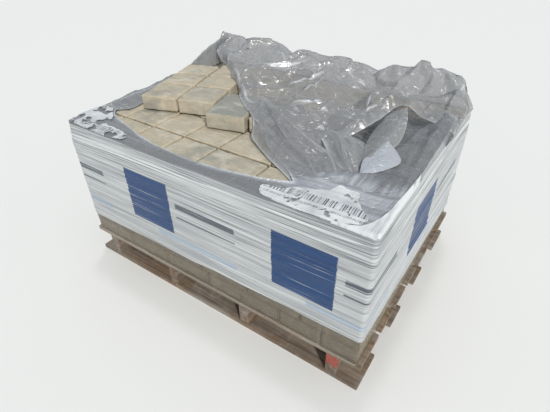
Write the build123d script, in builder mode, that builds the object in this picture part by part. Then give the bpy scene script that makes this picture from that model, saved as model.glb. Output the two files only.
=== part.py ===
from build123d import *
from math import cos, radians, sin
import os

# A timber pallet loaded with tumbled paving stones, in clear film and a white stretch wrap.
# Millimetres. X runs along the pallet's long side, Y along its short side, Z up.
# The origin is on the floor, under the middle of the pallet.

# Stones: one depth and one thickness, in three lengths, with tumbled corners and edges
stone_depth = 149.0
stone_thickness = 60.0
small_stone = 124.0
medium_stone = 149.0
large_stone = 200.0
corner_cut = 4.0
arris_cut = 2.5
stone_length = {"S": small_stone, "M": medium_stone, "L": large_stone}

# Layers: six rows of seven stones, each row in an order of its own.
# The wrap draws the two top layers together, so that their joints are narrower.
layer_count = 8
row_orders = ("SMMMLLL", "SMMMLLL", "LMLSMLM", "MLSLMML", "LMSLMML", "MLLMSLM")
joint = 3.0
second_layer_joint = 2.2
top_layer_joint = 1.2

# Loose stones of a ninth layer: two columns turned on the front left part of the top,
# then a lone stone against the second column, and a stone beside the lone one
column_joint = 3.0
column_turn = 16.5
column_inset = 283.5
column_setback = 272.5
first_column = "MSS"
second_column = "MSM"
lone_turn = 14.5
lone_gap = 5.4
lone_forward = 86.0
side_turn = 15.5
side_gap = 7.0
side_setback = 11.0

# Pallet: the stringers run along Y, and the boards of both decks along X
pallet_length = 1219.0
pallet_width = 914.0
board_thickness = 16.0
wide_board = 140.0
narrow_board = 102.0
bottom_board_count = 4
deck_board_count = 7
stringer_height = 89.0
stringer_width = 38.0
stringer_inset = 94.5
stringer_count = 4

# Films: the clear film goes round the load first, the white wrap goes round the clear film
film_clearance = 0.3
film_thickness = 1.0
film_corner = 6.0
front_lip = 27.0
front_lip_length = 835.0
left_lip = 45.0
left_lip_length = 510.0

# Clear film that stands up along the left edge: distance from the front edge, and height
standing_film = ((160.0, 12.0), (530.0, 20.0), (700.0, 70.0), (850.0, 122.0))

# White wrap: how far its top lies under the load's top, and how high its foot lies over the deck
wrap_top_drop = 4.0
wrap_foot_left = 80.0
wrap_foot_near = 112.0
wrap_foot_right_back = 60.0
wrap_foot_left_back = 70.0

# Torn top of the clear film, a heap over the right and the back of the load. Each section is its
# distance from the left edge, then its points from front to back as distance and height: the first
# list gives the distance from the front edge of the load, the second from the back edge.
heap_sections = (
    (9.0, (), ((120.0, 0.0), (105.0, 45.0), (90.0, 72.0), (75.0, 95.0),
               (58.0, 112.0), (40.0, 128.0), (24.0, 122.0), (8.0, 114.0))),
    (139.0, (), ((200.0, 0.0), (190.0, 66.0), (165.0, 88.0), (120.0, 104.0),
                 (85.0, 110.0), (60.0, 116.0), (35.0, 114.0), (8.0, 112.0))),
    (259.0, (), ((285.0, 0.0), (272.0, 68.0), (245.0, 82.0), (190.0, 88.0),
                 (130.0, 100.0), (100.0, 106.0), (60.0, 114.0), (8.0, 122.0))),
    (389.0, (), ((400.0, 0.0), (388.0, 66.0), (350.0, 76.0), (290.0, 90.0),
                 (215.0, 80.0), (130.0, 90.0), (80.0, 101.0), (8.0, 92.0))),
    (509.0, (), ((512.0, 0.0), (498.0, 66.0), (450.0, 70.0), (330.0, 76.0),
                 (240.0, 80.0), (150.0, 98.0), (70.0, 84.0), (8.0, 98.0))),
    (609.0, (), ((640.0, 0.0), (625.0, 30.0), (575.0, 66.0), (490.0, 70.0),
                 (380.0, 72.0), (240.0, 92.0), (120.0, 78.0), (8.0, 104.0))),
    (709.0, (), ((700.0, 0.0), (692.0, 12.0), (620.0, 50.0), (530.0, 80.0),
                 (440.0, 66.0), (330.0, 76.0), (170.0, 64.0), (8.0, 98.0))),
    (809.0, (), ((758.0, 0.0), (750.0, 8.0), (650.0, 40.0), (545.0, 56.0),
                 (445.0, 82.0), (320.0, 48.0), (190.0, 64.0), (8.0, 88.0))),
    (899.0, (), ((800.0, 0.0), (792.0, 5.0), (690.0, 12.0), (560.0, 40.0),
                 (455.0, 66.0), (300.0, 86.0), (150.0, 84.0), (8.0, 110.0))),
    (989.0, ((10.0, 0.0), (50.0, 10.0), (230.0, 14.0)),
     ((500.0, 18.0), (380.0, 24.0), (290.0, 76.0), (130.0, 86.0), (8.0, 138.0))),
    (1079.0, ((6.0, 0.0), (45.0, 10.0), (260.0, 16.0)),
     ((460.0, 24.0), (330.0, 42.0), (240.0, 66.0), (100.0, 84.0), (8.0, 104.0))),
    (1139.0, ((5.0, 0.0), (30.0, 10.0), (240.0, 24.0)),
     ((440.0, 56.0), (300.0, 82.0), (150.0, 94.0), (60.0, 88.0), (8.0, 68.0))),
    (1170.0, ((4.0, 0.0), (25.0, 10.0), (220.0, 22.0)),
     ((450.0, 42.0), (300.0, 60.0), (150.0, 66.0), (60.0, 36.0), (30.0, 14.0))),
)

deck_top = 2 * board_thickness + stringer_height
load_top = deck_top + layer_count * stone_thickness
row_count = len(row_orders)


def layer_joint(layer):
    """Width of the joints in one layer."""
    return {layer_count: top_layer_joint, layer_count - 1: second_layer_joint}.get(layer, joint)


def layer_size(layer):
    """Length and width of one layer."""
    order = row_orders[0]
    gap = layer_joint(layer)
    length = sum(stone_length[size] for size in order) + gap * (len(order) - 1)
    width = row_count * stone_depth + gap * (row_count - 1)
    return length, width


def finish(piece, label):
    """Label one piece and write its file."""
    piece.part.label = label
    export_step(piece.part, f"parts/{label}.step")


def row_order(layer, row):
    """Order of the stones in one row: as listed in the top layer, shifted and turned below it."""
    depth = layer_count - layer
    order = row_orders[(row + depth) % row_count]
    return order[::-1] if depth % 2 else order


def stone_places(layer):
    """Middle and length of each stone in one layer."""
    length, width = layer_size(layer)
    gap = layer_joint(layer)
    for row in range(row_count):
        y = -width / 2 + stone_depth / 2 + row * (stone_depth + gap)
        x = -length / 2
        for size in row_order(layer, row):
            long = stone_length[size]
            yield x + long / 2, y, long
            x += long + gap


def board_places(count):
    """Middle and width of each board across a deck: the outer two are wide, the gaps are equal."""
    gap = (pallet_width - 2 * wide_board - (count - 2) * narrow_board) / (count - 1)
    y = -pallet_width / 2
    for index in range(count):
        width = wide_board if index in (0, count - 1) else narrow_board
        yield y + width / 2, width
        y += width + gap


os.makedirs("parts", exist_ok=True)

# Bottom boards, flat on the floor
for index, (y, width) in enumerate(board_places(bottom_board_count), 1):
    with BuildPart() as bottom_board:
        with BuildSketch(Plane.XY):
            with Locations((0, y)):
                Rectangle(pallet_length, width)
        extrude(amount=board_thickness)
    finish(bottom_board, f"bottom_board_{index}")

# Stringers, on edge across the bottom boards
outer_stringer = pallet_length / 2 - stringer_inset
stringer_pitch = 2 * outer_stringer / (stringer_count - 1)
for index in range(stringer_count):
    with BuildPart() as stringer:
        with BuildSketch(Plane.XY.offset(board_thickness)):
            with Locations((index * stringer_pitch - outer_stringer, 0)):
                Rectangle(stringer_width, pallet_width)
        extrude(amount=stringer_height)
    finish(stringer, f"stringer_{index + 1}")

# Deck boards, across the stringers and under the stones
for index, (y, width) in enumerate(board_places(deck_board_count), 1):
    with BuildPart() as deck_board:
        with BuildSketch(Plane.XY.offset(board_thickness + stringer_height)):
            with Locations((0, y)):
                Rectangle(pallet_length, width)
        extrude(amount=board_thickness)
    finish(deck_board, f"deck_board_{index}")

# Stone layers: each stone is a solid of its own
for layer in range(1, layer_count + 1):
    with BuildPart() as stone_layer:
        with BuildSketch(Plane.XY.offset(deck_top + (layer - 1) * stone_thickness)) as outlines:
            for x, y, long in stone_places(layer):
                with Locations((x, y)):
                    Rectangle(long, stone_depth)
            chamfer(outlines.vertices(), corner_cut)
        extrude(amount=stone_thickness)
        if layer == layer_count:
            chamfer(stone_layer.faces().group_by(Axis.Z)[-1].edges(), arris_cut)
    finish(stone_layer, f"stone_layer_{layer}")

load_length, load_width = layer_size(1)
top_length, top_width = layer_size(layer_count)


def turned_plane(x, y, angle):
    """Plane on the top layer, turned by this angle about the vertical."""
    return Plane(
        origin=(x, y, load_top),
        x_dir=(cos(radians(angle)), sin(radians(angle)), 0),
        z_dir=(0, 0, 1),
    )


def column_stones(plane, order, u):
    """Plane, near left corner and length of each stone in a turned column."""
    v = 0.0
    for size in order:
        yield plane, u, v, stone_length[size]
        v += stone_length[size] + column_joint


# Places of the loose stones, from the joint between the two columns
columns = turned_plane(column_inset - load_length / 2, column_setback - load_width / 2, column_turn)
loose_stones = list(column_stones(columns, first_column, -column_joint / 2 - stone_depth))
loose_stones += list(column_stones(columns, second_column, column_joint / 2))
column_corner = columns.from_local_coords(Vector(column_joint / 2 + stone_depth, 0, 0))
lone = turned_plane(column_corner.X, column_corner.Y, lone_turn)
loose_stones.append((lone, lone_gap, -lone_forward, large_stone))
lone_corner = lone.from_local_coords(Vector(lone_gap + stone_depth, -lone_forward, 0))
side = turned_plane(lone_corner.X, lone_corner.Y, side_turn)
loose_stones.append((side, side_gap, side_setback, medium_stone))

# Loose stones, flat on the top layer
for index, (plane, u, v, long) in enumerate(loose_stones, 1):
    with BuildPart() as loose_stone:
        with BuildSketch(plane) as outline:
            with Locations((u + stone_depth / 2, v + long / 2)):
                Rectangle(stone_depth, long)
            chamfer(outline.vertices(), corner_cut)
        extrude(amount=stone_thickness)
        chamfer(loose_stone.faces().sort_by(Axis.Z)[-1].edges(), arris_cut)
    finish(loose_stone, f"loose_stone_{index}")


def film_ring(inner, foot, top):
    """Rounded ring of film, its inner face this far outside the stones."""
    outer = inner + film_thickness
    with BuildSketch(Plane.XY.offset(foot)) as ring:
        RectangleRounded(load_length + 2 * outer, load_width + 2 * outer,
                         film_corner + outer - film_clearance)
        RectangleRounded(load_length + 2 * inner, load_width + 2 * inner,
                         film_corner + inner - film_clearance, mode=Mode.SUBTRACT)
    extrude(ring.sketch, amount=top - foot)


# Clear film: a ring round the load, with a lip over the front and left edges of the top,
# and a part that stands up along the left edge
film_seat = load_top + film_clearance
left_face = -load_length / 2 - film_clearance
front_face = -load_width / 2 - film_clearance
with BuildPart() as clear_film:
    film_ring(film_clearance, deck_top + film_clearance, film_seat + film_thickness)
    with BuildSketch(Plane.XY.offset(film_seat)):
        with BuildLine():
            Polyline(
                (left_face, front_face),
                (left_face + front_lip_length, front_face),
                (left_face + front_lip_length, front_face + front_lip),
                (left_face + left_lip, front_face + front_lip),
                (left_face + left_lip, front_face + left_lip_length),
                (left_face, front_face + left_lip_length),
                close=True,
            )
        make_face()
    extrude(amount=film_thickness)
    with BuildSketch(Plane.YZ.offset(left_face)):
        with BuildLine():
            Polyline(
                (front_face + film_corner, load_top),
                *((front_face + along, film_seat + height) for along, height in standing_film),
                (-front_face - film_corner, film_seat + standing_film[-1][1]),
                (-front_face - film_corner, load_top),
                close=True,
            )
        make_face()
    extrude(amount=-film_thickness)
finish(clear_film, "clear_film")

# White stretch wrap round the clear film, its foot cut at a slope on every side
wrap_inset = 2 * film_clearance + film_thickness
half_length = load_length / 2 + wrap_inset + film_thickness
half_width = load_width / 2 + wrap_inset + film_thickness


def cut_foot(plane, inner, start, end, left, right):
    """Cut one side's foot along a line from the height left to the height right."""
    with BuildSketch(plane) as below_foot:
        with BuildLine():
            Polyline((start, deck_top), (end, deck_top), (end, deck_top + right), (start, deck_top + left),
                     close=True)
        make_face()
    extrude(below_foot.sketch, amount=inner, mode=Mode.SUBTRACT)


with BuildPart() as stretch_wrap:
    film_ring(wrap_inset, deck_top, load_top - wrap_top_drop)
    cut_foot(Plane.XZ, half_width, -half_length, half_length, wrap_foot_left, wrap_foot_near)
    cut_foot(Plane.YZ, half_length, 0, half_width, wrap_foot_near, wrap_foot_right_back)
    cut_foot(Plane.YZ, -half_length, 0, half_width, wrap_foot_left, wrap_foot_left_back)
finish(stretch_wrap, "stretch_wrap")



def heap_section(from_left, front_points, back_points):
    """Corners of one upright section through the heap, from its front foot round to its back foot."""
    x = from_left - top_length / 2
    corners = [Vector(x, y - top_width / 2, film_seat + height) for y, height in front_points]
    corners += [Vector(x, top_width / 2 - y, film_seat + height) for y, height in back_points]
    corners.append(Vector(x, top_width / 2 - back_points[-1][0], film_seat))
    return corners


def heap_facets(sections):
    """Flat three-cornered facets between the sections, and the two ends."""
    yield Face(Wire.make_polygon(sections[0]))
    yield Face(Wire.make_polygon(sections[-1]))
    for near, far in zip(sections, sections[1:]):
        for index, corner in enumerate(near):
            following = (index + 1) % len(near)
            yield Face(Wire.make_polygon([corner, near[following], far[following]]))
            yield Face(Wire.make_polygon([corner, far[following], far[index]]))


# Torn top of the clear film: a closed heap of flat facets, hollowed over the loose stones
heap = Solid(Shell(list(heap_facets([heap_section(*section) for section in heap_sections]))))
with BuildPart() as torn_film:
    add(heap)
    for plane, u, v, long in loose_stones:
        with BuildSketch(plane):
            with Locations((u + stone_depth / 2, v + long / 2)):
                Rectangle(stone_depth + 2 * film_clearance, long + 2 * film_clearance)
        extrude(amount=stone_thickness + film_clearance, mode=Mode.SUBTRACT)
finish(torn_film, "torn_film")
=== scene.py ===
import math

import bmesh
import bpy
import numpy as np
from mathutils import Matrix, Vector, noise
from mathutils.bvhtree import BVHTree
from mathutils.geometry import delaunay_2d_cdt


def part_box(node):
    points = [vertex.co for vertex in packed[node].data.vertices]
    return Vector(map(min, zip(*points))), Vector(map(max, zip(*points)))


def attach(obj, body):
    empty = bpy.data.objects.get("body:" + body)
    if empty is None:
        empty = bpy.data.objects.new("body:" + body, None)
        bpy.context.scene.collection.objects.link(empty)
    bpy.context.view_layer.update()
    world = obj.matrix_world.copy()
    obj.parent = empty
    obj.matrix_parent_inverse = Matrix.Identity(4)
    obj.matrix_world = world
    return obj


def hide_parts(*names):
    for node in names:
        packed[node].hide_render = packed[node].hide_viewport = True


# A timber pallet loaded with tumbled paving stones, in clear film and a white stretch wrap.
# Metres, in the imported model's own frame: X along the pallet, Y across it, Z up from the floor.
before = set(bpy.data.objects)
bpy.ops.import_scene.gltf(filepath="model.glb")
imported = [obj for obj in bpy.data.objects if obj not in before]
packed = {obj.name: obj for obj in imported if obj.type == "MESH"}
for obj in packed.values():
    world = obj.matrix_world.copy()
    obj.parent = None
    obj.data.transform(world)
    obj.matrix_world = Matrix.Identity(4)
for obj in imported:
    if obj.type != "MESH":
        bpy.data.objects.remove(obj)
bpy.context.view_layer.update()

# Pallet boards. Sawn softwood planks 16 mm thick, nailed across the stringers in a lower and
# an upper deck, weathered to grey-brown with open grain and worn edges.


def tint(red, green, blue):
    """Colour from its screen values of 0 to 255."""
    return (*(((part / 255 + 0.055) / 1.055) ** 2.4 for part in (red, green, blue)), 1.0)


class Finish:
    """A procedural material, made node by node on one Principled shader."""

    def __init__(self, name, **constants):
        self.material = bpy.data.materials.new(name)
        self.material.use_nodes = True
        self.tree = self.material.node_tree
        self.shader = self.tree.nodes["Principled BSDF"]
        for socket, value in constants.items():
            self.feed(self.shader.inputs[socket.replace("_", " ")], value)

    def feed(self, socket, value):
        """Set a socket, or link another node's output to it."""
        if isinstance(value, bpy.types.NodeSocket):
            self.tree.links.new(value, socket)
        else:
            socket.default_value = value

    def node(self, kind, sockets, output=0, **settings):
        """New node; gives one of its outputs."""
        made = self.tree.nodes.new(kind)
        for name, value in settings.items():
            setattr(made, name, value)
        for key, value in sockets.items():
            self.feed(made.inputs[key], value)
        return made.outputs[output]

    def place(self, stretch=(1.0, 1.0, 1.0), turn=(0.0, 0.0, 0.0)):
        """Place on the object in metres, turned and stretched."""
        at = self.node("ShaderNodeTexCoord", {}, output="Object")
        return self.node("ShaderNodeMapping", {"Vector": at, "Scale": stretch, "Rotation": turn})

    def mark(self, name, output="Fac"):
        """A value that the mesh carries."""
        return self.node("ShaderNodeAttribute", {}, output=output, attribute_name=name)

    def noise(self, at, scale, detail=3.0, rough=0.55, twist=0.0):
        """Soft cloudy values about 0.5."""
        return self.node("ShaderNodeTexNoise", {"Vector": at, "Scale": scale, "Detail": detail,
                                                "Roughness": rough, "Distortion": twist})

    def sum(self, operation, first, second=0.0, third=0.0):
        """Arithmetic on up to three values."""
        return self.node("ShaderNodeMath", {0: first, 1: second, 2: third}, operation=operation)

    def times(self, value, *others):
        """Product of two or more values."""
        for other in others:
            value = self.sum("MULTIPLY", value, other)
        return value

    def fade(self, value, low, high, at_low=0.0, at_high=1.0):
        """The value carried from low..high to at_low..at_high, and held there."""
        return self.node("ShaderNodeMapRange", {"Value": value, "From Min": low, "From Max": high,
                                                "To Min": at_low, "To Max": at_high})

    def within(self, value, low, high, soft=0.0012):
        """1 between two values, with a soft edge."""
        return self.times(self.fade(value, low - soft, low + soft),
                          self.fade(value, high + soft, high - soft))

    def mix(self, share, first, second):
        """Blend of two colours."""
        return self.node("ShaderNodeMix", {0: share, 6: first, 7: second}, output=2, data_type="RGBA")

    def coats(self, base, *laid):
        """Colours laid over a first one in turn, each with its share."""
        for share, colour in laid:
            base = self.mix(share, base, colour)
        return base

    def bump(self, height, depth, strength=1.0, under=None):
        """Relief this deep, laid over another one if that is given."""
        sockets = {"Height": height, "Distance": depth, "Strength": strength}
        if under is not None:
            sockets["Normal"] = under
        return self.node("ShaderNodeBump", sockets)

    def give(self, **sockets):
        """Feed the shader's own sockets."""
        for socket, value in sockets.items():
            self.feed(self.shader.inputs[socket.replace("_", " ")], value)

    def cover(self, piece):
        """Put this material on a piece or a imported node."""
        if not piece.material_slots:
            piece.data.materials.append(self.material)
        for slot in piece.material_slots:
            slot.material = self.material


def weathered_wood(name, along, painted_end=False):
    """Grey-brown sawn wood, its grain along X or Y."""
    wood = Finish(name, Specular_IOR_Level=0.25)
    own = wood.node("ShaderNodeObjectInfo", {}, output="Random")
    shift = wood.node("ShaderNodeCombineXYZ", {axis: wood.times(own, far)
                                               for axis, far in enumerate((7.3, 3.1, 1.7))})
    at = wood.node("ShaderNodeTexCoord", {}, output="Object")
    moved = wood.node("ShaderNodeVectorMath", {0: at, 1: shift}, operation="ADD")
    long, across = 2.2, 55.0
    stretch = (long, across, across) if along == "X" else (across, long, across)
    grain_at = wood.node("ShaderNodeMapping", {"Vector": moved, "Scale": stretch})
    grain = wood.noise(grain_at, 1.0, 5.0, 0.6, 0.6)
    fibre = wood.noise(grain_at, 6.0, 3.0, 0.6)
    patches = wood.noise(moved, 6.0, 4.0, 0.6)
    dust = wood.noise(moved, 30.0, 3.0)
    brown = wood.mix(wood.fade(grain, 0.35, 0.65), tint(92, 76, 62), tint(146, 124, 102))
    grey = wood.mix(wood.fade(grain, 0.35, 0.65), tint(104, 97, 90), tint(160, 152, 142))
    colour = wood.coats(wood.mix(wood.fade(patches, 0.4, 0.62), brown, grey),
                        (wood.fade(fibre, 0.62, 0.8, 0.0, 0.6), tint(58, 48, 40)),
                        (wood.fade(dust, 0.55, 0.75, 0.0, 0.45), tint(172, 160, 140)),
                        (wood.times(own, 0.35), tint(88, 80, 72)))
    if painted_end:
        bare_y, red_y = -0.4245, -0.4265
        bare_z, red_z = 0.062, 0.07
        place_y = wood.node("ShaderNodeSeparateXYZ", {0: at}, output=1)
        place_z = wood.node("ShaderNodeSeparateXYZ", {0: at}, output=2)
        in_front = wood.fade(wood.sum("MULTIPLY_ADD", dust, 0.03, place_y), bare_y, red_y)
        upper = wood.fade(wood.sum("MULTIPLY_ADD", dust, 0.02, place_z), bare_z, red_z)
        painted = wood.times(in_front, upper, wood.fade(fibre, 0.68, 0.5, 0.1, 0.85))
        colour = wood.mix(painted, colour, tint(166, 72, 60))
    wood.give(Base_Color=colour, Roughness=wood.fade(fibre, 0.3, 0.7, 0.75, 0.95))
    ridges = wood.bump(fibre, 0.0012, 0.6)
    wood.give(Normal=wood.bump(grain, 0.002, 0.5, under=ridges))
    return wood


same_corner = 0.00002


def ease_edges(node, width):
    """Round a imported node's edges."""
    weld = node.modifiers.new("weld", "WELD")
    weld.merge_threshold = same_corner
    eased = node.modifiers.new("eased edges", "BEVEL")
    eased.width = width
    eased.segments = 2
    eased.limit_method = "ANGLE"


board_edge = 0.0018
board_wood = weathered_wood("weathered board", "X")
for name in (name for name in packed if name.startswith(("deck_board", "bottom_board"))):
    board_wood.cover(packed[name])
    ease_edges(packed[name], board_edge)

# Stringers. Sawn 38 by 89 mm timbers on edge between the two decks, which carry the load and
# leave the fork openings. One front end is marked with red paint.
stringer_edge = 0.0022
stringer_names = sorted(name for name in packed if name.startswith("stringer"))
stringer_wood = weathered_wood("weathered stringer", "Y")
painted_wood = weathered_wood("stringer with a painted end", "Y", painted_end=True)
for name in stringer_names:
    (painted_wood if name == stringer_names[-1] else stringer_wood).cover(packed[name])
    ease_edges(packed[name], stringer_edge)

# Paving stones. Dry-cast concrete in three lengths, tumbled in a drum so that edges are
# rounded and chipped, tan with grey patches. Eight full layers, six rows of seven in each.


def stone_blocks(node):
    """Middle, turn, length, depth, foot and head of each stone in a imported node."""
    net = bmesh.new()
    net.from_mesh(node.data)
    bmesh.ops.remove_doubles(net, verts=net.verts, dist=same_corner)
    bmesh.ops.dissolve_limit(net, angle_limit=0.01, verts=net.verts, edges=net.edges)
    waiting = set(net.verts)
    blocks = []
    while waiting:
        found, edge = [], [waiting.pop()]
        while edge:
            corner = edge.pop()
            found.append(corner)
            for other in (link.other_vert(corner) for link in corner.link_edges):
                if other in waiting:
                    waiting.discard(other)
                    edge.append(other)
        sides = [link.verts[1].co - link.verts[0].co for corner in found for link in corner.link_edges]
        longest = max((side for side in sides if abs(side.z) < 0.0001), key=lambda side: side.length)
        turn = math.atan2(longest.y, longest.x) % math.pi
        turn -= math.pi / 2 * round(turn / (math.pi / 2))
        spots = np.array([corner.co for corner in found])
        ahead = np.array((math.cos(turn), math.sin(turn)))
        aside = np.array((-ahead[1], ahead[0]))
        u, v = spots[:, :2] @ ahead, spots[:, :2] @ aside
        middle = ahead * (u.min() + u.max()) / 2 + aside * (v.min() + v.max()) / 2
        blocks.append((middle, turn, np.ptp(u), np.ptp(v), spots[:, 2].min(), spots[:, 2].max()))
    net.free()
    return sorted(blocks, key=lambda block: (round(block[0][1], 3), block[0][0]))


edge_loops = np.array((0.0, 0.3, 0.62, 1.0))
edge_spans = 2 * (len(edge_loops) - 1)


def loops_along(length, margin, middle):
    """Places of the net's loops along one side, close together by the edges."""
    near = margin * edge_loops
    between = np.linspace(margin, length - margin, middle + 1)[1:-1]
    return np.concatenate((near, between, length - near[::-1])) - length / 2


def box_net(counts):
    """Corners of a closed, box-shaped net, by their loops, and the quads between them."""
    order, quads = {}, []
    spans = [range(count) for count in counts]

    def corner(*loops):
        return order.setdefault(loops, len(order))

    for axis in range(3):
        first, second = (axis + 1) % 3, (axis + 2) % 3
        for end in (0, counts[axis]):
            for a in spans[first]:
                for b in spans[second]:
                    ring = []
                    for da, db in ((0, 0), (1, 0), (1, 1), (0, 1)):
                        loops = [0, 0, 0]
                        loops[axis], loops[first], loops[second] = end, a + da, b + db
                        ring.append(corner(*loops))
                    quads.append(ring if end else ring[::-1])
    return np.array(list(order)), quads


def ramp(value, start, width):
    """0 up to a start, rising to 1 over a width."""
    return np.clip((value - start) / width, 0, 1)


def tumbled_stone(block, counts, corners, seed, margin):
    """Points of one tumbled stone, with how worn, how far up-facing and how deep each one is."""
    middle, turn, length, depth, foot, head = block
    half = np.array((length, depth, head - foot)) / 2
    loops = [loops_along(2 * size, margin, count - edge_spans) for size, count in zip(half, counts)]
    flat = np.stack([loops[axis][corners[:, axis]] for axis in range(3)], 1)
    origin = Vector((seed * 1.37 % 11, seed * 2.71 % 13, seed * 0.93 % 7))

    def relief(scale):
        return np.array([noise.noise(Vector(spot) * scale + origin) for spot in flat])

    broad, chips, grit = relief(24.0), relief(62.0), relief(150.0)
    radius = margin * (0.34 + 0.34 * np.clip(broad + 0.3, 0, 1) + 0.7 * np.clip(chips - 0.1, 0, 0.6))
    radius = np.minimum(radius, margin * 0.98)[:, None]
    core = np.clip(flat, radius - half, half - radius)
    away = flat - core
    reach = np.linalg.norm(away, axis=1, keepdims=True)
    outward = away / np.maximum(reach, 1e-9)
    skin = core + outward * radius
    to_edge = np.sort(half - np.abs(flat), axis=1)[:, 1:2]
    hollow = (0.0011 * (1 + relief(13.0)) + 0.0011 * (1 + relief(37.0)) + 0.0003 * (1 + grit))[:, None]
    pillow = 0.0011 * np.exp(-to_edge / 0.011)
    deepest = 0.005
    skin -= outward * np.minimum(hollow + pillow, deepest)
    worn = ramp((reach / radius)[:, 0], 1, 0.3) + 0.5 * np.exp(-to_edge[:, 0] / 0.006)
    turned = np.array(((math.cos(turn), -math.sin(turn)), (math.sin(turn), math.cos(turn))))
    skin[:, :2] = skin[:, :2] @ turned.T + middle
    skin[:, 2] += (foot + head) / 2
    depth = (half[2] - flat[:, 2]) * (1 - 0.7 * np.abs(outward[:, 0]))
    return skin, np.clip(worn, 0, 1), np.clip(outward[:, 2] * 2, 0, 1), depth


def new_piece(name, points, faces, marks=None):
    """Smooth mesh piece that rides on the pallet, with the values that its mesh carries."""
    mesh = bpy.data.meshes.new(name)
    mesh.from_pydata([tuple(point) for point in points], [], [tuple(map(int, face)) for face in faces])
    for label, values in (marks or {}).items():
        values = np.asarray(values, np.float32)
        kind = "FLOAT" if values.ndim == 1 else "FLOAT_VECTOR"
        layer = mesh.attributes.new(label, kind, "POINT")
        layer.data.foreach_set("value" if values.ndim == 1 else "vector", values.ravel())
    mesh.shade_smooth()
    piece = bpy.data.objects.new(name, mesh)
    bpy.context.scene.collection.objects.link(piece)
    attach(piece, "root")
    return piece


def stone_piece(name, blocks, tones, middles, seed, margin, joint_shade_and_dust):
    """One piece of tumbled stones, each of its own tone, with painted shade deeper in the joints and dust
    on the edges.
    """
    counts = tuple(count + edge_spans for count in middles)
    corners, quads = box_net(counts)
    quads = np.array(quads)
    points, faces, wear, tone, dust = [], [], [], [], []
    for index, (block, shade) in enumerate(zip(blocks, tones)):
        skin, worn, upper, depth = tumbled_stone(block, counts, corners, seed + index, margin)
        faces.append(quads + len(corners) * index)
        points.append(skin)
        wear.append(worn)
        tone.append(shade * (0.3 + 0.7 * upper))
        # The dust mark: painted shade deeper down the joints, and dust on the edges.
        dust.append(joint_shade_and_dust[0] * ramp(depth, 0.002, 0.007) + joint_shade_and_dust[1] * worn)
    marks = {"wear": wear, "tone": tone, "dust": dust}
    marks = {label: np.concatenate(values) for label, values in marks.items()}
    return new_piece(name, np.concatenate(points), np.concatenate(faces), marks)


paver = Finish("tumbled paver", Specular_IOR_Level=0.3)
stone_at = paver.place()
clouds = paver.noise(stone_at, 7.0, 4.0, 0.6)
blotches = paver.noise(stone_at, 26.0, 4.0, 0.65, 0.4)
streaks = paver.noise(paver.place((14.0, 60.0, 60.0), (0.0, 0.0, 0.6)), 1.0, 4.0, 0.6)
sand = paver.noise(stone_at, 420.0, 2.0, 0.7)
pits = paver.node("ShaderNodeTexVoronoi", {"Vector": stone_at, "Scale": 170.0}, output="Distance")
chalk = paver.noise(stone_at, 15.0, 3.0, 0.6, 0.5)
greyness = paver.sum("ADD", paver.fade(clouds, 0.46, 0.7, 0.0, 0.5), paver.mark("tone"))
grey_patch = paver.fade(paver.sum("MULTIPLY_ADD", blotches, 0.6, greyness), 0.4, 1.15, 0.0, 0.9)
broken_wear = paver.times(paver.mark("wear"), paver.fade(blotches, 0.35, 0.6, 0.1, 0.5))
# Darker brown from the dust mark: painted shade deep in the joints, and dust on the edges.
dust_and_joint_shade = paver.times(paver.mark("dust"), paver.fade(blotches, 0.34, 0.6, 0.35, 0.8))
stone_colour = paver.coats(
    paver.mix(paver.fade(blotches, 0.35, 0.65), tint(186, 175, 155), tint(171, 165, 149)),
    (grey_patch, tint(135, 139, 134)),
    (paver.fade(chalk, 0.52, 0.68, 0.0, 0.5), tint(204, 199, 186)),
    (paver.fade(streaks, 0.54, 0.72, 0.0, 0.45), tint(206, 196, 174)),
    (paver.fade(streaks, 0.44, 0.3, 0.0, 0.45), tint(146, 137, 121)),
    (broken_wear, tint(198, 178, 138)),
    (dust_and_joint_shade, tint(102, 88, 66)),
    (paver.fade(sand, 0.58, 0.72, 0.0, 0.35), tint(122, 112, 98)),
    (paver.fade(sand, 0.4, 0.3, 0.0, 0.35), tint(226, 216, 196)),
    (paver.fade(pits, 0.16, 0.06, 0.0, 0.4), tint(104, 96, 84)))
paver.give(Base_Color=stone_colour, Roughness=paver.fade(sand, 0.3, 0.7, 0.82, 0.96))
grains = paver.bump(sand, 0.0006, 0.55)
hollows = paver.bump(paver.fade(pits, 0.0, 0.3), 0.0008, 0.5, under=grains)
paver.give(Normal=paver.bump(blotches, 0.0016, 0.5, under=hollows))

rng = np.random.default_rng(41)
layer_count = sum(name.startswith("stone_layer") for name in packed)
side_net, top_net = (6, 6, 4), (12, 10, 4)
seen_layers = {1: side_net, 2: side_net, layer_count: top_net}
worn_margin, hidden_edge = 0.0125, 0.003
tone_spread, palest, greyest = 0.14, -0.25, 0.4
for layer in range(1, layer_count + 1):
    node = packed[f"stone_layer_{layer}"]
    if layer in seen_layers:
        blocks = stone_blocks(node)
        tones = np.clip(rng.normal(0.0, tone_spread, len(blocks)), palest, greyest)
        # The top layer's joints get painted shade deeper down; the two lowest layers get a little of it,
        # and dust on their edges.
        joint_shade_and_dust = (1.0, 0.0) if layer == layer_count else (0.1, 1.0)
        stones = stone_piece(f"tumbled_layer_{layer}", blocks, tones, seen_layers[layer], layer * 100,
                             worn_margin, joint_shade_and_dust)
        paver.cover(stones)
        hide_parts(node.name)
    else:
        paver.cover(node)
        ease_edges(node, hidden_edge)

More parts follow.
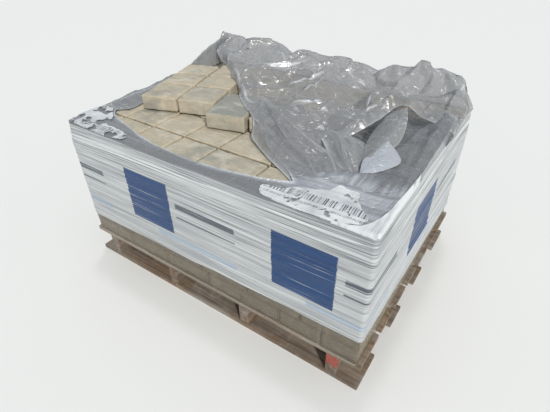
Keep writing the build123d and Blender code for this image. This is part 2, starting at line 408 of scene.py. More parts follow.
# Loose stones. Eight of a ninth layer, left turned on the top after the others were taken, the
# greyest of them at the right.
loose_names = [f"loose_stone_{index}" for index in range(1, 9)]
loose_tones = (0.1, 0.05, -0.1, 0.35, -0.2, 0.0, 0.95, 0.6)
loose_margin, loose_net = 0.0135, (18, 18, 7)
loose_blocks = [stone_blocks(packed[name])[0] for name in loose_names]
for index, (name, block, shade) in enumerate(zip(loose_names, loose_blocks, loose_tones)):
    stone = stone_piece(f"tumbled_{name}", [block], [shade], loose_net, 900 + index, loose_margin,
                        joint_shade_and_dust=(0.0, 0.0))
    paver.cover(stone)
    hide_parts(name)

# Clear film round the sides. One tube of thin polyethylene drawn over the load, tight on the
# stones, its foot gathered into a soft hem just under the deck's edge.
load_low, load_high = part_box("stone_layer_1")
top_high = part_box(f"stone_layer_{layer_count}")[1]
deck_top, load_top = load_low.z, top_high.z
layer_height = (load_top - deck_top) / layer_count


def round_the_load(length, width, corner_steps, spacing):
    """Stations round the load from its back left corner: x share, y share, outward x, outward y.

    A rectangle of any half length and half width, its corners rounded, can use them."""
    stations = []
    legs = (((-1, 1), (-1, -1), (-1, 0), 2 * width), ((-1, -1), (1, -1), (0, -1), 2 * length),
            ((1, -1), (1, 1), (1, 0), 2 * width), ((1, 1), (-1, 1), (0, 1), 2 * length))
    for start, end, out, run in legs:
        count = int(run / spacing)
        following = math.atan2(out[1], out[0])
        for share in np.linspace(0, 1, count + 1):
            along = [a + (b - a) * share for a, b in zip(start, end)]
            stations.append((*along, *out))
        for step in range(1, corner_steps):
            angle = following + math.pi / 2 * step / corner_steps
            stations.append((*end, math.cos(angle), math.sin(angle)))
    return np.array(stations)


def ring_points(stations, half_length, half_width, radius, out):
    """Points of one level round the load: half sizes, corner radius and distance out of it."""
    middles = np.array((half_length, half_width)) - radius
    return stations[:, :2] * middles + stations[:, 2:] * (radius + out)


def run_along(points):
    """Distance gone round the load at each point."""
    steps = np.linalg.norm(np.diff(points, axis=0), axis=1)
    return np.concatenate(((0.0,), np.cumsum(steps)))


def field(across, up, seed, detail=0):
    """Smooth noise about 0 at pairs of places, with finer noise on it by detail."""
    value = np.zeros(np.shape(across))
    for octave in range(detail + 1):
        share = 0.5**octave
        spots = zip(np.ravel(across) * 2**octave, np.ravel(up) * 2**octave)
        layer = [noise.noise(Vector((a, b, seed * 1.7 + octave * 5.1))) for a, b in spots]
        value += share * np.reshape(layer, value.shape)
    return value


def strip_faces(rows, columns):
    """Quads of a net of rows of columns."""
    row, column = np.meshgrid(np.arange(rows - 1), np.arange(columns - 1), indexing="ij")
    first = (row * columns + column).ravel()
    return np.stack((first, first + 1, first + columns + 1, first + columns), 1)


def clear_plastic(name, colour, pale, alpha, milky, drawn=(5.0, 36.0, 36.0), pulls="place"):
    """Thin clear film: see-through, glossy, creased, paler and milkier where it is gathered in layers, as a
    mark says, with painted shade where that mark goes below 0, a painted sheen at grazing angles and
    painted highlights along its crackle creases.
    """
    film = Finish(name, IOR=1.5, Specular_IOR_Level=1.0)
    at = film.place()
    broad = film.noise(at, 9.0, 2.0, 0.5)
    swirl = film.node("ShaderNodeTexNoise", {"Vector": at, "Scale": 11.0, "Detail": 2.0}, output="Color")
    bent = film.node("ShaderNodeVectorMath", {0: swirl, 1: (0.16, 0.16, 0.16), 2: at},
                     operation="MULTIPLY_ADD")
    bent = film.node("ShaderNodeMapping", {"Vector": bent, "Scale": (0.6, 1.3, 1.0),
                                           "Rotation": (0.3, 0.2, 0.7)})
    crackle = film.node("ShaderNodeTexVoronoi", {"Vector": bent, "Scale": 22.0, "Randomness": 1.0},
                        feature="DISTANCE_TO_EDGE")
    fine = film.noise(at, 90.0, 3.0, 0.6, 0.8)
    if pulls == "place":
        slant = 0.5 if drawn[0] < drawn[2] else 0.0
        streaks = film.noise(film.place(drawn, (0.0, 0.0, slant)), 1.0, 3.0, 0.6)
    else:
        flow = film.node("ShaderNodeMapping", {"Vector": film.mark(pulls, output="Vector"), "Scale": drawn})
        streaks = film.noise(flow, 1.0, 4.0, 0.6)
    rim = film.node("ShaderNodeLayerWeight", {"Blend": 0.3}, output="Facing")
    bunched_and_painted_light = film.mark("bunched_and_painted_light")
    # Painted highlights: pale, more opaque lines along the crackle's edges.
    crease_highlight = film.times(film.fade(crackle, 0.012, 0.0), film.fade(broad, 0.45, 0.6))
    cover = film.sum("ADD", film.fade(broad, 0.35, 0.65, alpha - 0.03, alpha + 0.03),
                     film.fade(rim, 0.25, 0.95, 0.0, milky))
    cover = film.sum("MULTIPLY_ADD", film.sum("ABSOLUTE", bunched_and_painted_light), 0.4, cover)
    cover = film.sum("ADD", cover, film.fade(streaks, 0.56, 0.72, 0.0, 0.1))
    cover = film.sum("MULTIPLY_ADD", crease_highlight, 0.15, cover)
    film.give(Alpha=film.sum("MINIMUM", cover, 0.98))
    shade = film.coats(colour,
                       # Painted shade: dark where the bunched mark is below 0.
                       (film.fade(bunched_and_painted_light, 0.0, -0.9), tint(84, 84, 82)),
                       (film.fade(streaks, 0.56, 0.74, 0.0, 0.35), pale),
                       # Painted sheen: paler at grazing angles.
                       (film.fade(rim, 0.35, 0.9, 0.0, 0.8), pale),
                       (film.fade(bunched_and_painted_light, 0.35, 1.0), pale),
                       # Painted highlights along the crackle's creases.
                       (film.times(crease_highlight, 0.5), pale))
    film.give(Base_Color=shade, Roughness=film.fade(fine, 0.3, 0.75, 0.18, 0.32))
    wrinkled = film.bump(film.fade(crackle, 0.0, 0.1), 0.003, 0.4)
    wrinkled = film.bump(streaks, 0.002, 0.35, under=wrinkled)
    film.give(Normal=film.bump(fine, 0.0003, 0.15, under=wrinkled))
    return film


clear_film = clear_plastic("clear film", tint(148, 149, 151), tint(196, 199, 203), 0.55, 0.22)
edge_film = clear_plastic("clear film along the edges", tint(122, 126, 133), tint(190, 195, 202), 0.62, 0.2,
                          drawn=(1.6, 60.0, 60.0), pulls="flow")
skirt_film = clear_plastic("clear film over stones", tint(96, 85, 68), tint(158, 147, 127), 0.56, 0.25,
                           drawn=(30.0, 30.0, 2.5))
corner_radius = 0.008
stations = round_the_load(load_high.x, load_high.y, 7, 0.011)


def level_sizes(z):
    """Half length and half width of the load at a height; the wrap draws its top in."""
    drawn = ramp(z, load_top - 1.4 * layer_height, 1.3 * layer_height)
    drawn = drawn * drawn * (3 - 2 * drawn)
    return (load_high.x + (top_high.x - load_high.x) * drawn,
            load_high.y + (top_high.y - load_high.y) * drawn)


foot_drop = 0.008
levels = np.concatenate((np.linspace(deck_top - foot_drop, deck_top + 0.125, 34),
                         np.linspace(deck_top + 0.16, load_top - 0.004, 8)))
base_ring = ring_points(stations, *level_sizes(levels[0]), corner_radius, 0.0)
run = run_along(base_ring)
rows = []
for z in levels:
    over_foot = z - levels[0]
    height = np.full(len(run), z)
    crumple = field(run * 9, height * 55, 3, 1) * 0.0007 + field(run * 40, height * 30, 4) * 0.0004
    seam = 0.0006 * np.cos((z - deck_top) / layer_height * 2 * math.pi)
    out = 0.0011 + np.clip(crumple, -0.0004, 0.0012) + seam * (z < deck_top + 0.14)
    hem = math.exp(-((over_foot - 0.006) / 0.004) ** 2)
    out = out + hem * (0.0016 + 0.0012 * field(run * 14, height, 6))
    sag = 0.0028 * field(run * 5, np.zeros(len(run)), 8, 2) * math.exp(-over_foot / 0.02)
    ring = ring_points(stations, *level_sizes(z), corner_radius, 0.0)
    ring += stations[:, 2:] * out[:, None]
    rows.append(np.column_stack((ring, height + sag)))
points = np.concatenate(rows)
hem_share = np.exp(-((points[:, 2] - levels[0] - 0.005) / 0.006) ** 2)
side_film = new_piece("clear_film_sides", points, strip_faces(len(levels), len(stations)),
                      {"bunched_and_painted_light": hem_share})
skirt_film.cover(side_film)

# White stretch wrap. Many turns of thin white film pulled round the sides in long flat pleats,
# printed in a repeat: here only plain navy blocks and plain rules. Held by its own stretch.
print_pitch = 0.613
block_start = -0.326 + load_high.x + 2 * load_high.y
block_width, block_foot, block_head = 0.205, 0.306, 0.508
rule_start, rule_end = 0.232, 0.478
wide_rule, thin_rule, pale_rule = (0.424, 0.446), (0.386, 0.393), (0.276, 0.296)
pale_rule_start = 0.12

wrap_radius = 0.01
wrap_gap = 0.0032
wrap_stations = round_the_load(load_high.x, load_high.y, 8, 0.012)
wrap_run = run_along(ring_points(wrap_stations, load_high.x, load_high.y, wrap_radius, 0.003))
left_run, front_run = 2 * load_high.y, 2 * load_high.x
near_corner = left_run + front_run
turns = np.array((0.0, left_run, near_corner, 2 * left_run + front_run, wrap_run[-1]))
foot_heights = np.interp(wrap_run, turns, deck_top + np.array((0.070, 0.080, 0.112, 0.060, 0.070)))
foot_heights += 0.004 * field(wrap_run * 4, np.zeros(len(wrap_run)), 11, 2)
head_heights = load_top - 0.001 + 0.0025 * field(wrap_run * 3, np.zeros(len(wrap_run)), 12, 1)
head_heights += 0.006 * np.interp(wrap_run, near_corner + np.array((0, 0.1, 0.5, 0.8)), (0, 1, 1, 0))
head_heights += 0.009 * np.exp(-(((wrap_run - near_corner) / 0.07) ** 2))
row_total = 230
rows, run_marks, pleat_light_marks = [], [], []


def ridge(value, sharpness=1.0):
    """Sharp crests where the noise passes through zero."""
    return np.maximum(1 - np.abs(value), 0) ** (2 * sharpness)


for share in np.linspace(0, 1, row_total):
    z = foot_heights + (head_heights - foot_heights) * share
    slope = z + 0.012 * np.sin(wrap_run * 1.9 + 0.6) + 0.006 * np.sin(wrap_run * 4.3)
    slant = z - 0.028 * np.sin(wrap_run * 1.1 + 2.0)
    broad = field(wrap_run * 0.8, slope * 30, 21, 1)
    pleats = ridge(field(wrap_run * 0.9, slope * 75, 22) * 1.6, 1.5)
    folds = ridge(field(wrap_run * 1.6, slant * 120, 23) * 1.8, 1.0)
    cords = ridge(field(wrap_run * 0.5, slope * 26, 25) * 5.0, 1.2)
    calm = 0.35 + 0.65 * np.clip(0.5 + field(wrap_run * 1.3, slope * 9, 24), 0, 1)
    corner_gap = np.abs(wrap_run - near_corner)
    calm = calm * (1 - 0.55 * np.exp(-((corner_gap / 0.09) ** 2)))
    lift = calm * (0.0012 * (broad + 0.6) + 0.0016 * np.clip(pleats, 0, 1) + 0.0009 * np.clip(folds, 0, 1))
    lift = lift + 0.0026 * np.clip(cords, 0, 1) * calm
    top_cord = np.exp(-(((z - head_heights + 0.036 + 0.006 * np.sin(wrap_run * 2.3)) / 0.0026) ** 2))
    lift = lift + 0.0028 * top_cord
    lift = lift + 0.0012 * math.exp(-share * 60) - 0.0012 * math.exp(-(1 - share) * 50)
    middles = np.column_stack(level_sizes(z)) - wrap_radius
    out = (wrap_radius + wrap_gap + lift)[:, None]
    rows.append(np.column_stack((wrap_stations[:, :2] * middles + wrap_stations[:, 2:] * out, z)))
    run_marks.append(np.column_stack((wrap_run, slope, z)))
    # The pleat mark is for painted light: highlights on pleat crests and on the top cord, shade between
    # pleats.
    pleat_light_marks.append(calm * (0.5 * np.clip(pleats, 0, 1) + 0.5 * np.clip(cords, 0, 1)) + 1.2 * top_cord)
white_wrap = new_piece("white_stretch_wrap", np.concatenate(rows),
                       strip_faces(row_total, len(wrap_stations)),
                       {"run": np.concatenate(run_marks), "pleat_shade_and_highlight": np.concatenate(pleat_light_marks)})

white = Finish("white stretch film", IOR=1.45, Specular_IOR_Level=0.5)
run_vector = white.mark("run", output="Vector")
run_x, run_y, run_z = (white.node("ShaderNodeSeparateXYZ", {0: run_vector}, output=axis)
                       for axis in range(3))


def along_run(stretch, seed, detail=2.0):
    """Long lines that follow the film round the load."""
    at = white.node("ShaderNodeCombineXYZ", {0: white.times(run_x, stretch[0]),
                                             1: white.times(run_y, stretch[1]), 2: seed})
    return white.noise(at, 1.0, detail, 0.6)


bands = along_run((1.1, 42.0), 1.0, 3.0)
lines = along_run((2.2, 230.0), 4.0, 3.0)
hair = along_run((5.0, 620.0), 7.0, 2.0)
pleat_shade_and_highlight = white.mark("pleat_shade_and_highlight")
crowded = white.fade(run_z, 0.36, 0.55, 0.55, 1.0)
dark_lines = white.times(white.fade(lines, 0.5, 0.64, 0.0, 1.0), crowded)

ragged = white.sum("MULTIPLY_ADD", lines, 0.012, white.sum("SUBTRACT", run_x, 0.006))
in_repeat = white.sum("FLOORED_MODULO", white.sum("SUBTRACT", ragged, block_start), print_pitch)
broken = white.times(white.fade(lines, 0.28, 0.36), white.fade(bands, 0.76, 0.7, 0.5, 1.0))
block = white.times(white.within(in_repeat, 0.0, block_width),
                    white.within(run_z, block_foot, block_head), broken)
in_rules = white.within(in_repeat, rule_start, rule_end)
rules = white.sum("MAXIMUM", white.within(run_z, *wide_rule), white.within(run_z, *thin_rule))
rules = white.times(in_rules, rules, white.fade(lines, 0.38, 0.46))
pale_band = white.times(white.within(in_repeat, pale_rule_start, rule_end),
                        white.within(run_z, *pale_rule, 0.003))
navy = white.mix(white.fade(hair, 0.4, 0.65), tint(0, 48, 96), tint(4, 68, 122))
white_colour = white.coats(
    tint(210, 213, 213),
    (white.fade(bands, 0.42, 0.66, 0.0, 0.85), tint(158, 162, 166)),
    # Painted shade: greyer where the pleat mark is low, between pleats.
    (white.fade(pleat_shade_and_highlight, 0.2, 0.6, 0.4, 0.0), tint(176, 180, 183)),
    (dark_lines, tint(104, 109, 114)),
    # Painted highlights on pleat crests and on the cord along the top.
    (white.fade(pleat_shade_and_highlight, 0.7, 1.2, 0.0, 0.85), tint(229, 232, 232)),
    (white.fade(lines, 0.42, 0.32, 0.0, 0.6), tint(232, 235, 235)),
    (white.fade(hair, 0.54, 0.68, 0.0, 0.6), tint(134, 139, 143)),
    (white.times(pale_band, 0.55), tint(140, 162, 186)),
    (white.times(block, 0.96), navy),
    (white.times(rules, 0.85), tint(58, 68, 80)))
white.give(Base_Color=white_colour, Roughness=white.fade(hair, 0.3, 0.7, 0.28, 0.45))
fine_lines = white.bump(hair, 0.001, 0.6)
white.give(Normal=white.bump(lines, 0.003, 0.8, under=fine_lines))
white.cover(white_wrap)
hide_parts("stretch_wrap")

# Top edge of the clear film. The tube's torn upper part, folded down over the front and left
# edges and taut across the near corner, rising into a low wall along the right edge.
top_gap = 0.0016
edge_gap = 0.0028
wall_foot = load_top - 0.013
wall_run = 0.04
film_step = 0.0055


def smooth_line(marks, steps=12, closed=True):
    """Points of a smooth line through marked places."""
    marks = np.array(marks)
    count = len(marks)
    points = []
    for index in range(count if closed else count - 1):
        before, start, end, after = (marks[(index + shift) % count] if closed
                                     else marks[min(max(index + shift, 0), count - 1)]
                                     for shift in (-1, 0, 1, 2))
        if np.allclose(start, end):
            continue
        for t in np.arange(steps) / steps:
            points.append(0.5 * (2 * start + (end - before) * t
                                 + (2 * before - 5 * start + 4 * end - after) * t * t
                                 + (3 * start - before - 3 * end + after) * t**3))
    if not closed:
        points.append(marks[-1])
    return np.array(points)


def distance_to(outline, x, y, closed=True):
    """Distance of each place from a line, the nearest point on it, and how far along that is."""
    start = outline if closed else outline[:-1]
    end = np.roll(outline, -1, axis=0) if closed else outline[1:]
    best = np.full(x.shape, 1e9)
    nearest = np.zeros((*x.shape, 2))
    gone = np.zeros(x.shape)
    for index, (a, b) in enumerate(zip(start[:, :2], end[:, :2])):
        side = b - a
        size = side @ side
        if size < 1e-14:
            continue
        t = np.clip(((x - a[0]) * side[0] + (y - a[1]) * side[1]) / size, 0, 1)
        px, py = a[0] + t * side[0], a[1] + t * side[1]
        gap = np.hypot(x - px, y - py)
        closer = gap < best
        best = np.where(closer, gap, best)
        nearest[..., 0] = np.where(closer, px, nearest[..., 0])
        nearest[..., 1] = np.where(closer, py, nearest[..., 1])
        gone = np.where(closer, (index + t) / len(start), gone)
    return best, nearest, gone


def inside(outline, x, y):
    """Which places lie inside a closed line."""
    found = np.zeros(x.shape, bool)
    for (ax, ay), (bx, by) in zip(outline, np.roll(outline, -1, axis=0)):
        if ay == by:
            continue
        crosses = (ay > y) != (by > y)
        found ^= crosses & (x < ax + (y - ay) / (by - ay) * (bx - ax))
    return found


def cut_sheet(outline, step):
    """Flat net of squares cut to a closed line: places, faces and distance from the line."""
    low, high = outline.min(0) - step, outline.max(0) + step
    xs, ys = np.arange(low[0], high[0], step), np.arange(low[1], high[1], step)
    x, y = np.meshgrid(xs, ys)
    gap, nearest, _ = distance_to(outline, x, y)
    signed = np.where(inside(outline, x, y), gap, -gap)
    kept = signed > -0.5 * step
    on_edge = kept & (gap < 0.5 * step)
    x, y = np.where(on_edge, nearest[..., 0], x), np.where(on_edge, nearest[..., 1], y)
    columns = len(xs)
    faces = []
    for row in range(len(ys) - 1):
        for column in range(columns - 1):
            ring = [(row, column), (row, column + 1), (row + 1, column + 1), (row + 1, column)]
            used = [spot for spot in ring if kept[spot]]
            if len(used) >= 3 and not all(on_edge[spot] for spot in used):
                faces.append([r * columns + c for r, c in used])
    order = {old: new for new, old in enumerate(sorted({corner for face in faces for corner in face}))}
    keep = np.array(list(order))
    faces = [[order[corner] for corner in face] for face in faces]
    return x.ravel()[keep], y.ravel()[keep], faces, np.maximum(signed.ravel()[keep], 0)


def fold_over_edges(x, y, out):
    """Carry places past the load's edges down its sides: x, y on the load and 0 to 1 down the wall."""
    half_x, half_y = top_high.x + out, top_high.y + out
    past = np.maximum(np.abs(x) - half_x, np.abs(y) - half_y)
    down = ramp(past, 0, wall_run)
    x, y = np.clip(x, -half_x, half_x), np.clip(y, -half_y, half_y)
    radius = 0.012
    ax, ay = np.abs(x) - (half_x - radius), np.abs(y) - (half_y - radius)
    corner = (ax > 0) & (ay > 0)
    reach = np.maximum(np.hypot(ax, ay), 1e-9)
    pull = np.where(corner & (reach > radius), radius / reach, 1.0)
    x = np.where(corner, np.sign(x) * (half_x - radius + ax * pull), x)
    y = np.where(corner, np.sign(y) * (half_y - radius + ay * pull), y)
    return x, y, down


def drawn_through(marks, softness=0.012):
    """Surface held at marked places (x, y, height), sagging like film between them."""
    marks = np.array(marks, float)

    def pull(x, y):
        return np.sqrt((x[:, None] - marks[None, :, 0]) ** 2 + (y[:, None] - marks[None, :, 1]) ** 2
                       + softness**2)

    count = len(marks)
    system = np.zeros((count + 1, count + 1))
    system[:count, :count] = pull(marks[:, 0], marks[:, 1])
    system[:count, count] = system[count, :count] = 1
    weights = np.linalg.solve(system, np.append(marks[:, 2], 0))

    def height(x, y):
        return pull(x, y) @ weights[:-1] + weights[-1]

    return height


def stones_under(x, y, reach=0.02):
    """Height of the stones under each place, sloping off beside the loose ones as film does."""
    top = np.full(x.shape, load_top)
    for middle, turn, length, depth, foot, head in loose_blocks:
        u = np.abs((x - middle[0]) * math.cos(turn) + (y - middle[1]) * math.sin(turn)) - length / 2
        v = np.abs((y - middle[1]) * math.cos(turn) - (x - middle[0]) * math.sin(turn)) - depth / 2
        beside = np.hypot(np.maximum(u, 0), np.maximum(v, 0))
        rise = (head - load_top) * np.clip(1 - (beside - 0.003) / reach, 0, 1)
        top = np.maximum(top, load_top + rise)
    return top


def beside_line(x, y, line, run_out):
    """Distance of each place from an open line, and a share that runs out towards its ends."""
    gap, _, gone = distance_to(smooth_line(line, 8, closed=False), x, y, closed=False)
    return gap, np.clip(np.minimum(gone, 1 - gone) / run_out, 0, 1)


def creased(height, x, y, folds):
    """Height with folds added, each a line, rise and width: a crest above 0, a hollow below."""
    for line, rise, width in folds:
        gap, ends = beside_line(x, y, line, 0.18)
        height = height + rise * ends * np.exp(-(gap / width))
    return height


def facets(x, y, spacing, seed, stretch=(1.0, 1.0), turn=0.0):
    """Height from -1 to 1 of flat, sharply creased facets, as in crumpled film."""
    random = np.random.default_rng(seed)
    a = (x * math.cos(turn) + y * math.sin(turn)) / (spacing * stretch[0])
    b = (y * math.cos(turn) - x * math.sin(turn)) / (spacing * stretch[1])
    steps = [np.arange(math.floor(axis.min()) - 1, axis.max() + 2) for axis in (a, b)]
    ga, gb = (grid.ravel() for grid in np.meshgrid(*steps))
    ga, gb = ga + random.uniform(-0.42, 0.42, len(ga)), gb + random.uniform(-0.42, 0.42, len(gb))
    tall = random.uniform(-1, 1, len(ga))
    spots, _, triangles, origins, *_ = delaunay_2d_cdt([Vector(p) for p in zip(ga, gb)], [], [], 0, 1e-9)
    tall = [tall[origin[0]] for origin in origins]
    value = np.zeros(x.shape)
    for i, j, k in triangles:
        (ax, ay), (bx, by), (cx, cy) = spots[i], spots[j], spots[k]
        near = np.nonzero((a >= min(ax, bx, cx)) & (a <= max(ax, bx, cx))
                          & (b >= min(ay, by, cy)) & (b <= max(ay, by, cy)))[0]
        area = (by - cy) * (ax - cx) + (cx - bx) * (ay - cy)
        if not len(near) or abs(area) < 1e-12:
            continue
        u = ((by - cy) * (a[near] - cx) + (cx - bx) * (b[near] - cy)) / area
        v = ((cy - ay) * (a[near] - cx) + (ax - cx) * (b[near] - cy)) / area
        hit = (u >= -1e-9) & (v >= -1e-9) & (u + v <= 1 + 1e-9)
        value[near[hit]] = (u * tall[i] + v * tall[j] + (1 - u - v) * tall[k])[hit]
    return value


def film_piece(name, x, y, z, faces, bunched_and_painted_light, replaced, finish, flat, held="laid", area=None, flow=None):
    """Film sheet from its places and finish; the size of film that it takes is not used."""
    marks = {"bunched_and_painted_light": bunched_and_painted_light}
    if flow is not None:
        marks["flow"] = flow
    piece = new_piece(name, np.column_stack((x, y, z)), faces, marks)
    finish.cover(piece)
    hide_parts(replaced)
    return piece


half_x, half_y = top_high.x, top_high.y
past_x, past_y = half_x + wall_run, half_y + wall_run
band_inner = smooth_line([
    (-0.545, -0.03), (-0.553, -0.12), (-0.55, -0.20), (-0.535, -0.27), (-0.50, -0.315), (-0.44, -0.343),
    (-0.357, -0.366), (-0.239, -0.399), (-0.112, -0.415), (0.013, -0.416), (0.121, -0.406),
    (0.20, -0.392), (0.26, -0.376), (0.305, -0.36)], closed=False)
under_inner = smooth_line([
    (0.305, -0.36), (0.262, -0.318), (0.19, -0.268), (0.125, -0.225), (0.085, -0.17), (0.07, -0.09),
    (0.10, 0.03), (0.2, 0.13), (0.32, 0.22), (0.45, 0.24), (0.55, 0.2)], closed=False)
outer = [(past_x, 0.17), (past_x, -half_y), (half_x, -half_y), (half_x, -past_y), (-half_x, -past_y),
         (-half_x, -half_y), (-past_x, -half_y), (-past_x, 0.05), (-half_x, 0.06)]
band_outline = np.array([*band_inner, *under_inner[1:], *outer])
x, y, faces, from_edge = cut_sheet(band_outline, film_step)
band_height = drawn_through([
    (-0.58, 0.04, 0.012), (-0.56, -0.02, 0.006), (-0.58, -0.1, 0.006), (-0.57, -0.25, 0.006),
    (-0.585, -0.37, 0.011), (-0.54, -0.42, 0.006), (-0.5, -0.33, 0.006), (-0.3, -0.38, 0.004),
    (-0.3, -0.44, 0.003), (-0.1, -0.44, 0.003), (0.0, -0.42, 0.004), (0.12, -0.44, 0.003),
    (0.2, -0.4, 0.006), (0.3, -0.44, 0.004), (0.3, -0.37, 0.008), (0.365, -0.32, 0.015),
    (0.43, -0.265, 0.02), (0.46, -0.24, 0.02), (0.4, -0.4, 0.008), (0.5, -0.43, 0.006),
    (0.575, -0.43, 0.008), (0.52, -0.33, 0.014), (0.57, -0.35, 0.014), (0.5, -0.2, 0.016),
    (0.555, -0.2, 0.034), (0.575, -0.2, 0.03), (0.556, 0.0, 0.058), (0.578, 0.0, 0.05),
    (0.56, 0.15, 0.082), (0.58, 0.15, 0.078), (0.45, -0.1, 0.008), (0.48, 0.0, 0.014),
    (0.36, 0.0, 0.006), (0.25, -0.1, 0.01), (0.2, -0.22, 0.008), (0.35, 0.15, 0.02), (0.5, 0.15, 0.03),
    (0.15, -0.1, 0.03), (0.3, -0.25, 0.008)])
fx, fy, down = fold_over_edges(x, y, edge_gap)
height = creased(band_height(fx, fy), fx, fy, (
    ([(0.345, -0.326), (0.362, -0.312), (0.403, -0.288), (0.438, -0.262), (0.461, -0.235), (0.487, -0.201),
      (0.509, -0.169), (0.524, -0.125)], 0.009, 0.007),
    ([(0.585, -0.38), (0.565, -0.1), (0.555, 0.18)], 0.010, 0.014),
    ([(0.57, -0.3), (0.54, -0.05), (0.53, 0.16)], -0.006, 0.012),
    ([(0.47, -0.2), (0.49, -0.05), (0.52, 0.12)], 0.008, 0.01)))
front_strip = fy < -0.3
along_edge, from_side = np.where(front_strip, fx, fy), np.where(front_strip, fy, fx)
pulled = ridge(field(along_edge * 2.5, from_side * 70, 31) * 1.6)
streak_depth, least_lift, lip_rise, lip_reach = 0.0011, 0.0012, 0.003, 0.004
height += streak_depth * pulled
rough_part = ramp(fx, 0.15, 0.1) * ramp(fy, -0.36, 0.08)
smooth_part = np.clip((fy + 0.22) / 0.1, 0.35, 1)
height += rough_part * smooth_part * (0.007 * facets(fx, fy, 0.045, 5) + 0.003 * facets(fx, fy, 0.018, 6))
height += 0.0015 * facets(fx, fy, 0.03, 7) * (1 - rough_part)
height = np.maximum(height, least_lift)
height += lip_rise * (np.exp(-from_edge / lip_reach) * front_strip)
head = np.maximum(load_top + height, stones_under(fx, fy) + 0.0014)
z = head * (1 - down) + wall_foot * down
bunched_and_painted_light = 0.9 * np.exp(-from_edge / 0.006) + 0.3 * pulled
bunched_and_painted_light += 0.5 * ramp(fx, 0.2, 0.15) * ramp(-fy, 0.2, 0.08)
# Below 0 the film is darker: along the right wall, and in the recess by the standing flap, where it is
# painted shade.
bunched_and_painted_light -= 0.22 * ramp(fx, 0.47, 0.06) * ramp(fy, -0.28, 0.08)
bunched_and_painted_light -= 0.95 * np.exp(-(((fx - 0.36) / 0.065) ** 2) - ((fy - 0.05) / 0.15) ** 2)
bunched_and_painted_light = np.clip(bunched_and_painted_light, -1, 1)
# Its streaks run along the front edge, and along the right edge past the near corner.
by_right = ramp(fx, 0.40, 0.12) * ramp(fy, -0.34, 0.1)
flow = np.column_stack((fx * (1 - by_right) + fy * by_right, fy * (1 - by_right) + (fx + 2) * by_right, z))
top_band = film_piece("clear_film_top_edge", fx, fy, z, faces, bunched_and_painted_light, "clear_film", edge_film,
                      flat=(1.25, 0.4), flow=flow)

# Standing film at the left. The torn tube leans in along the left edge as a soft wall, and rises
# towards the back, where it carries the bunched top.
standing_film = clear_plastic("standing clear film", tint(128, 130, 133), tint(164, 168, 172), 0.86, 0.12)


def patch(columns, rows, shape):
    """Net over a square of 0 to 1 by 0 to 1, its places given by a function."""
    s = np.linspace(0, 1, columns)[None, :].repeat(rows, 0).ravel()
    t = np.linspace(0, 1, rows)[:, None].repeat(columns, 1).ravel()
    x, y, z, bunched_and_painted_light = shape(s, t)
    return x, y, z, strip_faces(rows, columns), bunched_and_painted_light


def arch(share):
    """0 at both ends of a share from 0 to 1, and 1 in its middle."""
    return np.sin(share * math.pi)


def along_line(marks, share):
    """Place on a smooth open line at each share of its length."""
    line = smooth_line(marks, 16, closed=False)
    gone = run_along(line)
    return np.stack([np.interp(share * gone[-1], gone, line[:, axis]) for axis in range(line.shape[1])], 1)


def between_lines(lines, shares, s, t):
    """Places on film drawn from line to line: each line at its share s of the width, t along it."""
    rails = [along_line(line, t) for line in lines]
    place = rails[0].copy()
    for left, right, low, high in zip(rails, rails[1:], shares, shares[1:]):
        place += (right - left) * ramp(s, low, high - low)[:, None]
    return place


def leaning_shape(s, t):
    """Low wall of film that leans in over the stones from the left edge."""
    foot = [(-0.552, -0.305, 0.004), (-0.51, -0.27, 0.004), (-0.492, -0.24, 0.004), (-0.505, -0.16, 0.004),
            (-0.53, -0.07, 0.004), (-0.553, 0.01, 0.005), (-0.575, 0.07, 0.008)]
    crest = [(-0.577, -0.318, 0.012), (-0.567, -0.27, 0.019), (-0.58, -0.18, 0.024), (-0.568, -0.1, 0.024),
             (-0.585, 0.0, 0.024), (-0.598, 0.09, 0.024)]
    outside = [(-0.606, -0.315, 0.005), (-0.607, -0.2, 0.006), (-0.607, -0.05, 0.006), (-0.607, 0.1, 0.01)]
    crest_at = 0.6
    x, y, rise = between_lines([foot, crest, outside], (0.0, crest_at, 1.0), s, t).T
    lift = 0.006 * ridge(field(s * 2.5, t * 6, 46) * 1.5) * arch(s)
    z = np.maximum(load_top + rise + lift, stones_under(x, y, 0.01) + 0.0025)
    return x, y, z, 0.7 * np.exp(-s / 0.06) + 0.4 * np.exp(-(((s - crest_at) / 0.05) ** 2))


def upright_shape(s, t):
    """Film that stands up along the left edge, higher towards the back."""
    start, end = 0.02, half_y - 0.006
    y = start + (end - start) * s
    tall = np.interp(y, (0.02, 0.075, 0.15, 0.242, 0.32, 0.394, half_y),
                     (0.004, 0.017, 0.038, 0.069, 0.1, 0.124, 0.118))
    lean = 0.010 * np.sin(t * math.pi * 0.8) + 0.012 * t * np.sin(s * 9) * s
    x = -half_x - top_gap + 0.002 * (1 - t) + lean + 0.006 * t * ridge(field(s * 12, t * 1.2, 44))
    z = wall_foot + (load_top + tall - wall_foot) * t
    return x, y, z, np.exp(-(1 - t) / 0.12)


film_piece("clear_film_left_wall", *patch(26, 90, leaning_shape), "clear_film", standing_film,
           flat=(0.1, 0.42), held="folded")
film_piece("clear_film_left_edge", *patch(84, 26, upright_shape), "clear_film", standing_film,
           flat=(0.43, 0.08), held="gathered")

